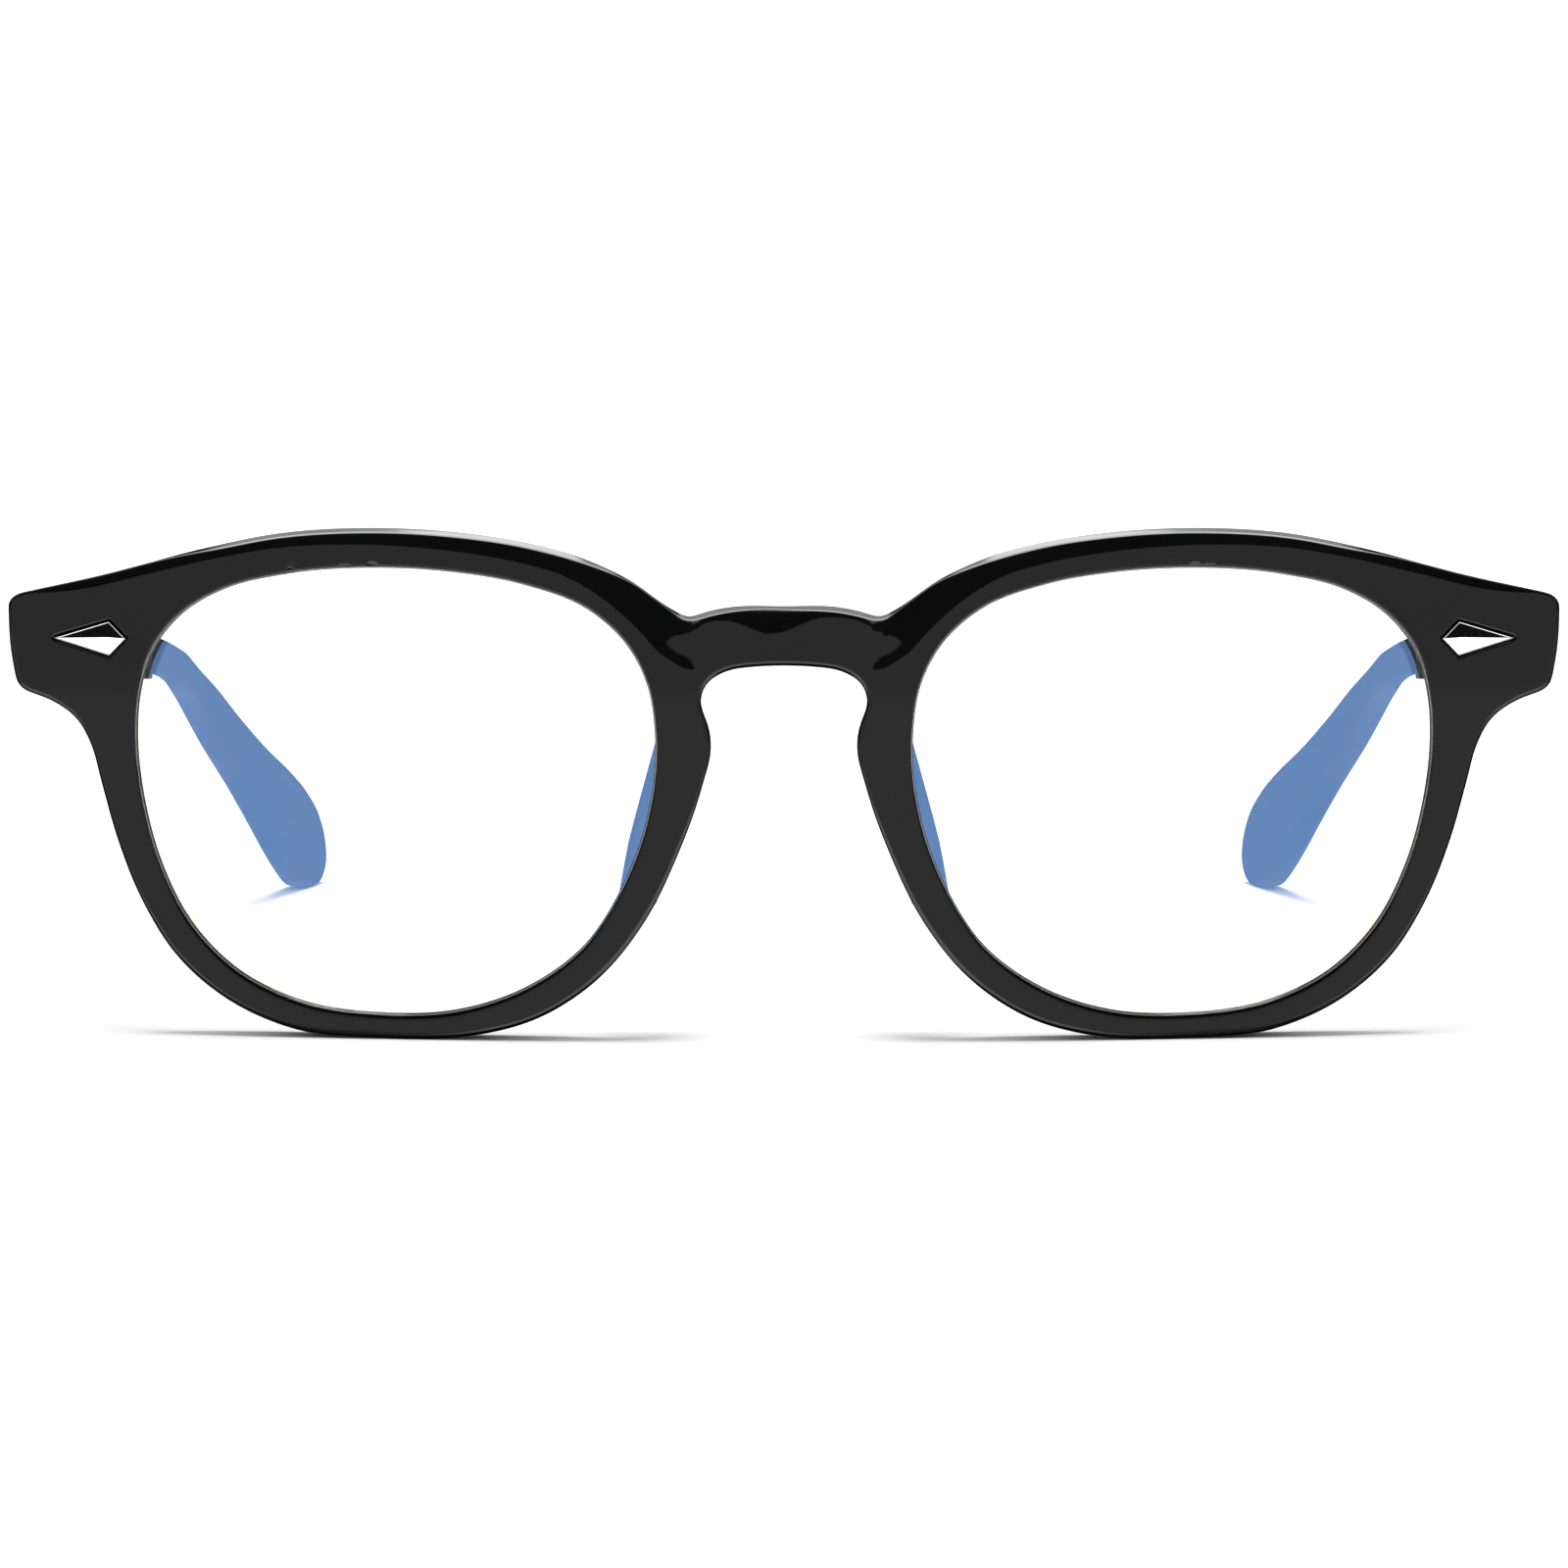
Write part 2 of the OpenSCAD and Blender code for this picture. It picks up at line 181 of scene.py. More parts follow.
def inward(line):
    """Unit normals at the points of a closed line, pointing into what it encloses."""
    d = np.roll(line, -1, axis=0) - np.roll(line, 1, axis=0)
    d /= np.linalg.norm(d, axis=1, keepdims=True)
    n = np.column_stack([-d[:, 1], d[:, 0]])
    return n if area(line) > 0 else -n


def nearest(points, line):
    """Distance from each point to a closed line, and the index along it, with its share."""
    b = np.roll(line, -1, axis=0) - line
    b2 = (b**2).sum(1)
    dist, where = np.empty(len(points)), np.empty(len(points))
    for k in range(0, len(points), 500):
        ap = points[k : k + 500, None] - line[None]
        t = np.clip((ap * b).sum(-1) / b2, 0, 1)
        d2 = ((ap - t[..., None] * b) ** 2).sum(-1)
        i = d2.argmin(1)
        rows = np.arange(len(i))
        dist[k : k + 500] = np.sqrt(d2[rows, i])
        where[k : k + 500] = i + t[rows, i]
    return dist, where


def inside(points, line):
    """Which points lie within a closed line."""
    x, z = points[:, 0, None], points[:, 1, None]
    a, b = line, np.roll(line, -1, axis=0)
    crosses = (a[:, 1] > z) != (b[:, 1] > z)
    with np.errstate(divide="ignore", invalid="ignore"):
        at = a[:, 0] + (z - a[:, 1]) * (b[:, 0] - a[:, 0]) / (b[:, 1] - a[:, 1])
    return (crosses & (x < at)).sum(1) % 2 == 1


def along(values, where):
    """Values at the points of a closed line, read at the places that nearest() gives."""
    i = np.floor(where).astype(int) % len(values)
    t = where - np.floor(where)
    return values[i] * (1 - t) + values[(i + 1) % len(values)] * t


def smooth_loop(values, times):
    """Values along a closed line, each averaged with its neighbours."""
    for _ in range(times):
        values = (np.roll(values, 1) + values + np.roll(values, -1)) / 3
    return values


def step(x, a, b):
    """0 up to a, 1 from b on, and eased between; a may be the larger of the two."""
    t = np.clip((x - a) / (b - a), 0, 1)
    return t * t * (3 - 2 * t)


# ---- Slabs: an outline with holes, skinned between a front and a back surface

# Rows of points along each edge, as shares of its width
RINGS = (0.06, 0.16, 0.3, 0.46, 0.62, 0.78, 0.9, 0.97, 1.03, 1.2)
ROW_SHARE = 0.866  # distance between the rows of the triangular grid, in its spacing
CREASE_SUPPORT = 0.13  # distance from a crease to the points that hold it sharp


def chain(start, count, closed):
    """Edges between count points in a row, the first of them numbered start."""
    edges = [(start + i, start + i + 1) for i in range(count - 1)]
    return edges + [(start + count - 1, start)] if closed else edges


class Slab:
    """Points and triangles shared by both faces of a slab. loops[0] is its outline and the
    rest are holes; widths hold each loop's edge width, point by point. The triangles' edges
    also follow the seats, which are closed lines, and the creases, which are open ones."""

    def __init__(self, loops, widths, spacing, seats=(), creases=()):
        self.loops, self.widths = loops, widths
        loose = self.rings()
        for crease in creases:
            loose += [crease + [0, CREASE_SUPPORT], crease - [0, CREASE_SUPPORT]]
        loose = np.vstack(loose + [self.grid(spacing, seats, creases)])
        loose = loose[self.within(loose)]
        points, edges, start = [], [], 0
        for kind, lines in (
            ("closed", loops), ("loose", [loose]), ("closed", seats), ("open", creases)
        ):
            for line in lines:
                if kind != "loose":
                    edges += chain(start, len(line), kind == "closed")
                points.append(line)
                start += len(line)
        made = delaunay_2d_cdt([Vector(p) for p in np.vstack(points)], edges, [], 0, 1e-6)
        self.points = np.array([tuple(v) for v in made[0]])
        tris = np.array(made[2])
        tris = tris[self.within(self.points[tris].mean(1))]
        p = self.points[tris]
        turn = np.cross(p[:, 1] - p[:, 0], p[:, 2] - p[:, 0])
        tris[turn < 0] = tris[turn < 0][:, ::-1]
        self.tris = tris[np.abs(turn) > 1e-9]
        place = {old: new for new, olds in enumerate(made[3]) for old in olds}
        self.edge_ids, start = [], 0
        for loop in loops:
            self.edge_ids.append([place[start + i] for i in range(len(loop))])
            start += len(loop)

    def rings(self):
        """Rows of points along the loops, without those that a tight bend brings too near."""
        rows = []
        for loop, width in zip(self.loops, self.widths):
            into = inward(loop) * (1 if loop is self.loops[0] else -1)
            for share in RINGS:
                row = loop + into * (width * share)[:, None]
                rows.append(row[nearest(row, loop)[0] > 0.93 * width * share])
        return rows

    def grid(self, spacing, seats, creases):
        """A triangular grid that keeps clear of the edges, the seats and the creases."""
        lo, hi = self.loops[0].min(0), self.loops[0].max(0)
        grid = np.array([
            (lo[0] + (i + 0.5 * (j % 2)) * spacing, lo[1] + j * spacing * ROW_SHARE)
            for j in range(int((hi[1] - lo[1]) / spacing / ROW_SHARE) + 1)
            for i in range(int((hi[0] - lo[0]) / spacing) + 1)
        ])
        keep = self.within(grid)
        for loop, width in zip(self.loops, self.widths):
            d, w = nearest(grid, loop)
            keep &= d > 1.2 * along(width, w) + 0.35 * spacing
        for seat in seats:
            keep &= nearest(grid, seat)[0] > 0.3 * spacing
        for crease in creases:
            there_and_back = np.vstack([crease, crease[-2:0:-1]])
            keep &= nearest(grid, there_and_back)[0] > 0.4 * spacing
        return grid[keep]

    def within(self, points):
        found = inside(points, self.loops[0])
        for hole in self.loops[1:]:
            found &= ~inside(points, hole)
        return found

    def edge(self, k, values):
        """Each point's distance to loop k, and that loop's values nearest to it."""
        d, w = nearest(self.points, self.loops[k])
        return d, [along(v, w) for v in values]

    def mesh(self, front, back, walls, to_space):
        """The slab's points and faces. front and back are depths at its points. walls[k] gives
        loop k's profile from front to back, as (offset out of the material, depth)."""
        n = len(self.points)
        verts = [to_space(self.points, front), to_space(self.points, back)]
        faces = [tuple(t) for t in self.tris] + [tuple(t[::-1] + n) for t in self.tris]
        total = 2 * n
        for k, ids in enumerate(self.edge_ids):
            loop = self.loops[k]
            normal = inward(loop) * (1 if k == 0 else -1)
            f, b = front[ids], back[ids]
            rows = [list(ids)]
            for offset, depth in walls[k](loop, f, b):
                verts.append(to_space(loop + normal * np.reshape(offset, (-1, 1)), depth))
                rows.append(list(range(total, total + len(ids))))
                total += len(ids)
            rows.append([i + n for i in ids])
            outer = (area(loop) > 0) == (k == 0)
            for r, s in zip(rows, rows[1:]):
                for i in range(len(ids)):
                    j = (i + 1) % len(ids)
                    quad = (r[j], r[i], s[i], s[j]) if outer else (r[i], r[j], s[j], s[i])
                    faces.append(quad)
        return np.vstack(verts), faces


def straight_wall(loop, f, b):
    """Profile that runs straight from the front's depth, f, to the back's, b."""
    return [(0, f + (b - f) * t) for t in (0.04, 0.12, 0.5, 0.88, 0.96)]


def round_edge(d, w):
    """0 inside the edge width w, rising to 1 at the edge itself as a quarter circle."""
    u = np.clip(1 - d / w, 0, 1)
    return 1 - np.sqrt(1 - u * u)


# Rings round a rivet's kite: two that hold the face flat, the seat's mouth and its floor
SEAT_GROW = (0.36, 0.22, 0.1, 0.06)
SEAT_LIP, SEAT_FLOOR = 0.13, 0.5


def seat_depth(points, seats):
    """How far each point is sunk by the rivet seats, whose mouths are chamfered."""
    sunk = np.zeros(len(points))
    for *_, mouth, floor in seats:
        sunk[nearest(points, mouth)[0] < 1e-4] = SEAT_LIP
        sunk[inside(points, floor) | (nearest(points, floor)[0] < 1e-4)] = SEAT_FLOOR
    return sunk


def sphere_y(x, z, depth):
    """Depth of a surface that lies evenly behind the front's curved face."""
    return FACE_R - np.sqrt((FACE_R - depth) ** 2 - x**2 - (z - FACE_Z) ** 2)


def make(name, verts, faces, material, replaced):
    """A piece that rides on the body of the CAD node it replaces."""
    mesh = bpy.data.meshes.new(name)
    mesh.from_pydata([tuple(v * MM) for v in verts], [], faces)
    mesh.validate()
    mesh.shade_smooth()
    piece = bpy.data.objects.new(name, mesh)
    scene.collection.objects.link(piece)
    piece.data.materials.append(material)
    holder = frame["nodes"][replaced].parent
    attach(piece, next(body for body, empty in frame["bodies"].items() if empty == holder))
    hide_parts(replaced)
    return piece


def front_space(points, depth):
    return np.column_stack([points[:, 0], depth + FRONT_Y, points[:, 1]])


# ---- Materials


NOISE_RANGE = (0.3, 0.7)  # the part of a noise texture's range that is used


def nodes_of(name):
    material = bpy.data.materials.new(name)
    material.use_nodes = True
    tree = material.node_tree
    return material, tree, tree.nodes["Principled BSDF"]


def ranged(tree, source, start, end, low=0.0, high=1.0, smooth=False):
    """The source's value, carried from start..end to low..high."""
    node = tree.nodes.new("ShaderNodeMapRange")
    if smooth:
        node.interpolation_type = "SMOOTHSTEP"
    node.inputs["From Min"].default_value = start
    node.inputs["From Max"].default_value = end
    node.inputs["To Min"].default_value = low
    node.inputs["To Max"].default_value = high
    tree.links.new(source, node.inputs["Value"])
    return node.outputs["Result"]


def combined(tree, operation, a, b, clamp=False):
    """A math node on two values, each of them a number or another node's output."""
    node = tree.nodes.new("ShaderNodeMath")
    node.operation, node.use_clamp = operation, clamp
    for socket, value in zip(node.inputs, (a, b)):
        if isinstance(value, (int, float)):
            socket.default_value = value
        else:
            tree.links.new(value, socket)
    return node.outputs["Value"]


def noise(tree, scale, detail, stretch=(1, 1, 1)):
    place = tree.nodes.new("ShaderNodeTexCoord")
    mapping = tree.nodes.new("ShaderNodeMapping")
    mapping.inputs["Scale"].default_value = stretch
    texture = tree.nodes.new("ShaderNodeTexNoise")
    texture.inputs["Scale"].default_value = scale
    texture.inputs["Detail"].default_value = detail
    tree.links.new(place.outputs["Object"], mapping.inputs["Vector"])
    tree.links.new(mapping.outputs["Vector"], texture.inputs["Vector"])
    return texture.outputs["Fac"]


def roughened(tree, source, shader, low, high):
    tree.links.new(ranged(tree, source, *NOISE_RANGE, low, high), shader.inputs["Roughness"])


def tinted(tree, source, shader, low, high):
    ramp = tree.nodes.new("ShaderNodeValToRGB")
    for element, position, colour in zip(ramp.color_ramp.elements, NOISE_RANGE, (low, high)):
        element.position, element.color = position, (*colour, 1)
    tree.links.new(source, ramp.inputs["Fac"])
    tree.links.new(ramp.outputs["Color"], shader.inputs["Base Color"])


def bumped(tree, source, shader, distance, strength):
    bump = tree.nodes.new("ShaderNodeBump")
    bump.inputs["Distance"].default_value = distance
    bump.inputs["Strength"].default_value = strength
    tree.links.new(source, bump.inputs["Height"])
    tree.links.new(bump.outputs["Normal"], shader.inputs["Normal"])


def acetate_material():
    """Black polished acetate."""
    material, tree, shader = nodes_of("black_acetate")
    tinted(tree, noise(tree, 90, 4), shader, (0.0018, 0.0019, 0.002), (0.003, 0.0031, 0.0032))
    roughened(tree, noise(tree, 260, 2), shader, 0.05, 0.085)
    bumped(tree, noise(tree, 70, 1), shader, 0.00002, 0.25)
    shader.inputs["Specular IOR Level"].default_value = 0.5
    return material


def lens_material():
    """Clear lens whose coating mirrors blue."""
    material, tree, shader = nodes_of("coated_lens")
    tinted(tree, noise(tree, 25, 1), shader, (0.985, 0.99, 1.0), (1.0, 1.0, 1.0))
    shader.inputs["Roughness"].default_value = 0
    shader.inputs["Transmission Weight"].default_value = 1
    shader.inputs["IOR"].default_value = 2.2
    shader.inputs["Specular Tint"].default_value = (0.23, 0.465, 1.0, 1)
    return material


def metal_material(name, dark, light, rough, stretch, scale, grain):
    """Metal between two greys, with a grain that is drawn out along one axis."""
    material, tree, shader = nodes_of(name)
    shader.inputs["Metallic"].default_value = 1
    lines = noise(tree, scale, 4, stretch)
    tinted(tree, lines, shader, dark, light)
    roughened(tree, lines, shader, *rough)
    bumped(tree, lines, shader, 0.00001, grain)
    return material


acetate = acetate_material()
coated_lens = lens_material()
rivet_metal = metal_material(
    "rivet_metal", (0.82, 0.81, 0.79), (0.92, 0.91, 0.9), (0.05, 0.14), (1, 1, 1), 2200, 0.2)
hinge_metal = metal_material(
    "hinge_metal", (0.36, 0.36, 0.36), (0.48, 0.48, 0.48), (0.36, 0.5), (1, 1, 12), 700, 0.35)
screw_steel = metal_material(
    "screw_steel", (0.7, 0.69, 0.67), (0.84, 0.83, 0.81), (0.1, 0.24), (1, 1, 8), 1500, 0.3)
core_wire = metal_material(
    "core_wire", (0.55, 0.55, 0.55), (0.7, 0.7, 0.7), (0.25, 0.4), (1, 0.1, 1), 900, 0.3)

CAD_MATERIALS = {
    "front_hinge_leaf": hinge_metal, "temple_hinge_leaf": hinge_metal,
    "hinge_screw": screw_steel, "temple_core": core_wire,
}
for stem, material in CAD_MATERIALS.items():
    for side in SIDES:
        node = frame["nodes"][f"{stem}_{side}"]
        node.data.materials.clear()
        node.data.materials.append(material)


# ---- Front

OUTLINE_SPACING = 0.42
NOTCH_IN, NOTCH_OUT = 8.0, 9.2  # where the notches between bridge and brow begin and end
BACK_EDGE, LENS_BACK_EDGE = 0.6, 0.4  # widths of the rounded edges at the back
LENS_EDGE_H = 0.42
GROOVE_D, LEDGE_H = 0.6, 0.1  # the lens groove, and the small ledge before it
# The nose end of the brow's crease, before it follows the top edge
CREASE_START = [
    (5.5, 34.2), (7.2, 34.2), (8.9, 34.3), (10.1, 34.9), (11.6, 36), (12.9, 37.5), (14.6, 39.2),
]
# Distance [x, gap] from the top edge down to the crease
CREASE_GAP = [(15, 2.3), (18, 1.95), (24, 1.7), (38, 1.4), (54, 1.05), (72, 0.7)]
# Height [x, z] above which the bevel by the nose deepens again
PATCH_TOP = [(7.2, 39.2), (7.9, 38.4), (8.6, 37.65), (10.6, 37.4), (11.2, 36.5)]
# Share of the lean that is reached at each share of the way back
LEAN_PROFILE = {0.03: 0.06, 0.1: 0.17, 0.13: 0.21, 0.17: 0.25, 0.6: 0.63, 0.93: 0.97, 0.97: 1}


def front_outline():
    """The front's closed outline, with even points and its corners eased."""
    top = curve(list(flipped(BRIDGE_TOP))[:-1] + [np.array(p) for p in BRIDGE_TOP])
    brow, end = curve(BROW), curve(ENDPIECE)
    under = curve(UNDERSIDE + [tuple(p) for p in flipped(UNDERSIDE)[1:]])
    line = np.vstack([top, brow[1:], end, under, flipped(end), flipped(brow)[:-1]])
    return rounded(even(line, OUTLINE_SPACING), 0.12, 4)


def kite_loop(centre_x, centre_z, grow, side=1, turn=0.0):
    """The kite about a centre, shrunk to keep its corners sharp or grown with them eased."""
    per_side = 14
    p = np.array(KITE, float)
    p = np.vstack([
        np.linspace(p[i], p[(i + 1) % 4], per_side, endpoint=False) for i in range(4)
    ])
    if grow < 0:
        p = KITE_MIDDLE + (p - KITE_MIDDLE) * (1 + grow / KITE_INNER_R)
    else:
        at_corner = np.arange(len(p)) % per_side == 0
        p = p - inward(p) * grow * np.where(at_corner, 1.25, 1)[:, None]
    c, s = math.cos(turn), math.sin(turn)
    p = p @ np.array([[c, s], [-s, c]])
    return p * [side, 1] + [centre_x * side, centre_z]


def edge_sizes(line, facing_up):
    """Width and height of the outline's rounded edge: slight along the brow, whose bevel does
    the rest, fuller by the notches and fullest over the bridge."""
    x, z = line.T
    out = np.abs(x)
    on_brow = (z > 38.6) & (facing_up > 0.3) & (out > NOTCH_OUT)
    by_notch = (z > 38) & (out > NOTCH_IN) & (out <= NOTCH_OUT)
    on_bridge = (z > 38.3) & (out <= NOTCH_IN)
    bridge_w = 0.5 + 2.6 * np.exp(-(((x + 1.2) / 3.1) ** 2))
    width = np.select([on_brow, by_notch, on_bridge], [0.3, 1.2, bridge_w], 0.55)
    height = np.select([on_brow, by_notch, on_bridge], [0.3, 0.75, 0.52 * bridge_w], 0.5)
    return smooth_loop(width, 3), smooth_loop(height, 3)


def brow_crease():
    """The crease where the brow's bevel begins. It keeps below the top edge, and by the nose
    runs down below the notch to a rounded end."""
    brow = curve(BROW)
    gap = np.interp(brow[:, 0], *np.transpose(CREASE_GAP))
    above = np.vstack([brow, [(72, 60), (8.8, 60)]])
    along_brow = (brow - inward(above)[:-2] * gap[:, None])[brow[:, 0] > 17]
    return curve(CREASE_START + [tuple(q) for q in along_brow[::-6][::-1]], steps=5)


def front_face(slab, edges, lens_w, crease, seats):
    """Depth of the front's face: the sphere, its rounded edges, the bevel and the seats."""
    x, z = slab.points.T
    out = np.abs(x)
    d, (edge_w, edge_h) = slab.edge(0, edges)
    drop = edge_h * round_edge(d, edge_w)
    bevel_zone = np.vstack([crease, [(80, 38.4), (80, 60), (5.5, 60)]])
    folded = np.column_stack([out, z])
    past_crease = nearest(folded, bevel_zone)[0] * inside(folded, bevel_zone)
    # By the nose the bevel is gentle and levels off; along the brow it falls steeply
    slope = 0.3 + 0.32 * step(out, 10, 14)
    above_patch = np.maximum(z - np.interp(out, *np.transpose(PATCH_TOP)), 0)
    deepest = 0.36 + 4 * step(out, 10.7, 13) + 0.5 * above_patch
    drop += np.minimum(slope * past_crease, deepest) * step(out, 7.4, 8.5)
    for k, width in enumerate(lens_w, 1):
        d, (w,) = slab.edge(k, [width])
        drop += LENS_EDGE_H * round_edge(d, w)
    return sphere_y(x, z, 0) + drop + seat_depth(slab.points, seats)


def front_back(slab):
    """Depth of the front's back, with its edges rounded."""
    x, z = slab.points.T
    depth = sphere_y(x, z, FRONT_T) - 0.6 * round_edge(slab.edge(0, [])[0], BACK_EDGE)
    for k in (1, 2):
        depth -= 0.35 * round_edge(slab.edge(k, [])[0], LENS_BACK_EDGE)
    return depth


def leaning_wall(loop, f, b):
    """Profile of the outline's wall, which leans in towards the front."""
    return [(-lean * out, f + (b - f) * t) for t, out in LEAN_PROFILE.items()]


def lens_wall(loop, f, b):
    """Profile of a lens opening: a small ledge before the lens, the groove and the back."""
    x, z = loop.T
    near, far = sphere_y(x, z, LENS_INSET - 0.1), sphere_y(x, z, LENS_INSET + LENS_T + 0.1)
    return [
        (0, f + 0.05), (0, near - 0.22), (0, near - 0.18), (-LEDGE_H, near - 0.16),
        (-LEDGE_H, near - 0.02), (GROOVE_D, near + 0.02), (GROOVE_D, far - 0.02), (0.02, far),
        (0, far + 0.04), (0, b - (b - far) * 0.3), (0, b - 0.04),
    ]


outline = front_outline()
facing_up = np.clip(-inward(outline)[:, 1], 0, 1)
edges = edge_sizes(outline, facing_up)
# Where it faces up, the edge also leans, so that its top shows from in front
leaning = step(facing_up, 0.84, 0.97) * step(np.abs(outline[:, 0]), 60, 50)
lean = smooth_loop(leaning * (0.42 - 0.1 * edges[1]), 4)
outline = outline + inward(outline) * lean[:, None]

lens_line = curve(LENS_OPENING, closed=True, steps=7)
openings = [lens_line, flipped(lens_line)]
lens_w = [0.28 + 0.5 * np.clip(inward(loop)[:, 1], 0, 1) for loop in openings]
seats = [
    [kite_loop(RIVET_X, RIVET_Z, grow, sign) for grow in SEAT_GROW] for sign in SIDES.values()
]
crease = brow_crease()
fold = even(crease[(crease[:, 0] > 8.2) & (crease[:, 0] < 70.6)], 0.5, closed=False)

front = Slab([outline, *openings], [edges[0], *lens_w], 0.8, sum(seats, []), [fold, flipped(fold)])
face = front_face(front, edges, lens_w, crease, seats)
verts, faces = front.mesh(
    face, front_back(front), [leaning_wall, lens_wall, lens_wall], front_space
)
make("front_acetate", verts, faces, acetate, "front_frame")


# ---- Lenses

LENS_BEVEL = 0.3

for side, opening in zip(SIDES, openings):
    rim = opening - inward(opening) * LENS_BITE
    glass = Slab([rim], [np.full(len(rim), LENS_BEVEL)], 1.2)
    x, z = glass.points.T
    bevel = LENS_BEVEL * np.clip(1 - glass.edge(0, [])[0] / LENS_BEVEL, 0, 1)
    near = sphere_y(x, z, LENS_INSET) + bevel
    far = sphere_y(x, z, LENS_INSET + LENS_T) - bevel
    verts, faces = glass.mesh(near, far, [straight_wall], front_space)
    make(f"lens_{side}_glass", verts, faces, coated_lens, f"lens_{side}")


# ---- Temples

BUTT_TILT = math.tan(math.asin(TEMPLE_X / FACE_R))


def temple_outline():
    """The temple from the side, cut square at its front end."""
    top, bottom = curve(TEMPLE_TOP), curve(TEMPLE_BOTTOM)
    near_butt = 60  # points of each line that surely reach past the cut
    z_top = np.interp(BUTT_Y, top[:near_butt, 0], top[:near_butt, 1])
    z_low = np.interp(BUTT_Y, *bottom[::-1][:near_butt].T)
    line = np.vstack([top, bottom[1:]])
    cut = np.vstack([[[BUTT_Y, z_top]], line[line[:, 0] > BUTT_Y], [[BUTT_Y, z_low]]])
    return rounded(even(cut, 0.5), 0.05, 3)


def temple_space(sign):
    """Places a blade's points. Its front end follows the slope of the front's back."""

    def place(points, depth):
        x = -depth
        by_butt = step(-points[:, 0], -18, -13)
        y = points[:, 0] + (x - TEMPLE_X) * BUTT_TILT * by_butt
        return np.column_stack([x * sign, y + FRONT_Y, points[:, 1]])

    return place


side_line = temple_outline()
side_w = smooth_loop(np.where(side_line[:, 0] < BUTT_Y + 0.3, 0.25, 1.15), 2)
turn = -math.radians(TEMPLE_SLOPE)
temple_seat = [
    kite_loop(0, 0, grow, 1, turn) + [TEMPLE_RIVET_Y, TEMPLE_RIVET_Z] for grow in SEAT_GROW
]
blade = Slab([side_line], [side_w], 1.3, temple_seat)
plan_y, plan_x, plan_t = curve(TEMPLE_PLAN).T
along_y = blade.points[:, 0]
middle, half = np.interp(along_y, plan_y, plan_x), np.interp(along_y, plan_y, plan_t) / 2
d, (w,) = blade.edge(0, [side_w])
ease = 0.85 * np.minimum(w, 1) * round_edge(d, w)
outer_x = middle + half - ease - seat_depth(blade.points, [temple_seat])
inner_x = middle - half + 0.3 * round_edge(d, np.minimum(w, 0.4))

for side, sign in SIDES.items():
    verts, faces = blade.mesh(-outer_x, -inner_x, [straight_wall], temple_space(sign))
    if sign < 0:
        faces = [f[::-1] for f in faces]
    make(f"temple_{side}_acetate", verts, faces, acetate, f"temple_{side}")


# ---- Nose pads: a smooth skin stretched over the balls


def unit_ball():
    """Directions and triangles of a fine ball."""
    ball = bpy.data.meshes.new("ball")
    shaping = bmesh.new()
    bmesh.ops.create_icosphere(shaping, subdivisions=5, radius=1)
    shaping.to_mesh(ball)
    shaping.free()
    directions = np.array([tuple(v.co.normalized()) for v in ball.vertices])
    triangles = [tuple(p.vertices) for p in ball.polygons]
    bpy.data.meshes.remove(ball)
    return directions, triangles


directions, pad_faces = unit_ball()
centres, radii = np.array(NOSE_PAD)[:, :3], np.array(NOSE_PAD)[:, 3]
reach = directions @ centres.T + radii
weight = np.exp(4 * (reach - reach.max(1, keepdims=True)))
weight /= weight.sum(1, keepdims=True)
pad = weight @ centres + directions * (weight @ radii)[:, None]
for side, sign in SIDES.items():
    verts = pad * [sign, 1, 1] + [0, FRONT_Y, 0]
    faces = pad_faces if sign > 0 else [f[::-1] for f in pad_faces]
    make(f"nose_pad_{side}_acetate", verts, faces, acetate, f"nose_pad_{side}")


# ---- Rivets: a faceted kite within a bright bead, on pins, with a domed head behind the leaf

# Bead round the kite: how far it is grown, and its height above the acetate
BEAD = [(-0.04, -0.5), (-0.04, 0.02), (-0.05, 0.06), (-0.08, 0.09), (-0.12, 0.09), (-0.15, 0.06)]
PEAK = (-0.05, 0.12, 0.5)
PIN_R, KEY_PIN_R, KEY_PIN_X = 0.6, 0.4, 2.6


def band(k, count):
    """Faces between row k and the next of a mesh made of rows of points."""
    return [
        (k * count + i, k * count + j, (k + 1) * count + j, (k + 1) * count + i)
        for i, j in ((i, (i + 1) % count) for i in range(count))
    ]


def lathe(profile, centre_x=0.0, count=24):
    """Rings of points about a line along z, as (radius, z), closed at both ends."""
    verts, faces = [], []
    for r, z in profile:
        for i in range(count):
            a = 2 * math.pi * i / count
            verts.append((centre_x + r * math.cos(a), r * math.sin(a), z))
    for k in range(len(profile) - 1):
        faces += band(k, count)
    faces.append(tuple(range(count))[::-1])
    faces.append(tuple((len(profile) - 1) * count + i for i in range(count)))
    return verts, faces


def rivet_mesh(wall):
    """A rivet in its own frame: x along the kite, y up, z out of the acetate. wall is the
    depth at which its head starts."""
    verts, faces = [], []
    for grow, z in BEAD:
        verts += [(x, y, z) for x, y in kite_loop(0, 0, grow)]
    n = len(verts) // len(BEAD)
    for k in range(len(BEAD) - 1):
        faces += band(k, n)
    last, peak = (len(BEAD) - 1) * n, len(verts)
    verts.append(PEAK)
    faces += [(last + i, last + (i + 1) % n, peak) for i in range(n)]
    pin = lathe([(PIN_R, -wall - 0.05), (PIN_R, -0.4)])
    dome = lathe([(0.45, -wall - 0.4), (0.8, -wall - 0.34), (0.97, -wall - 0.2), (1, -wall + 0.01)])
    key_pin = lathe([(KEY_PIN_R, -1.2), (KEY_PIN_R, -0.3)], KEY_PIN_X)
    for round_verts, round_faces in (pin, dome, key_pin):
        base = len(verts)
        verts += round_verts
        faces += [tuple(v + base for v in f) for f in round_faces]
    return np.array(verts), faces, peak


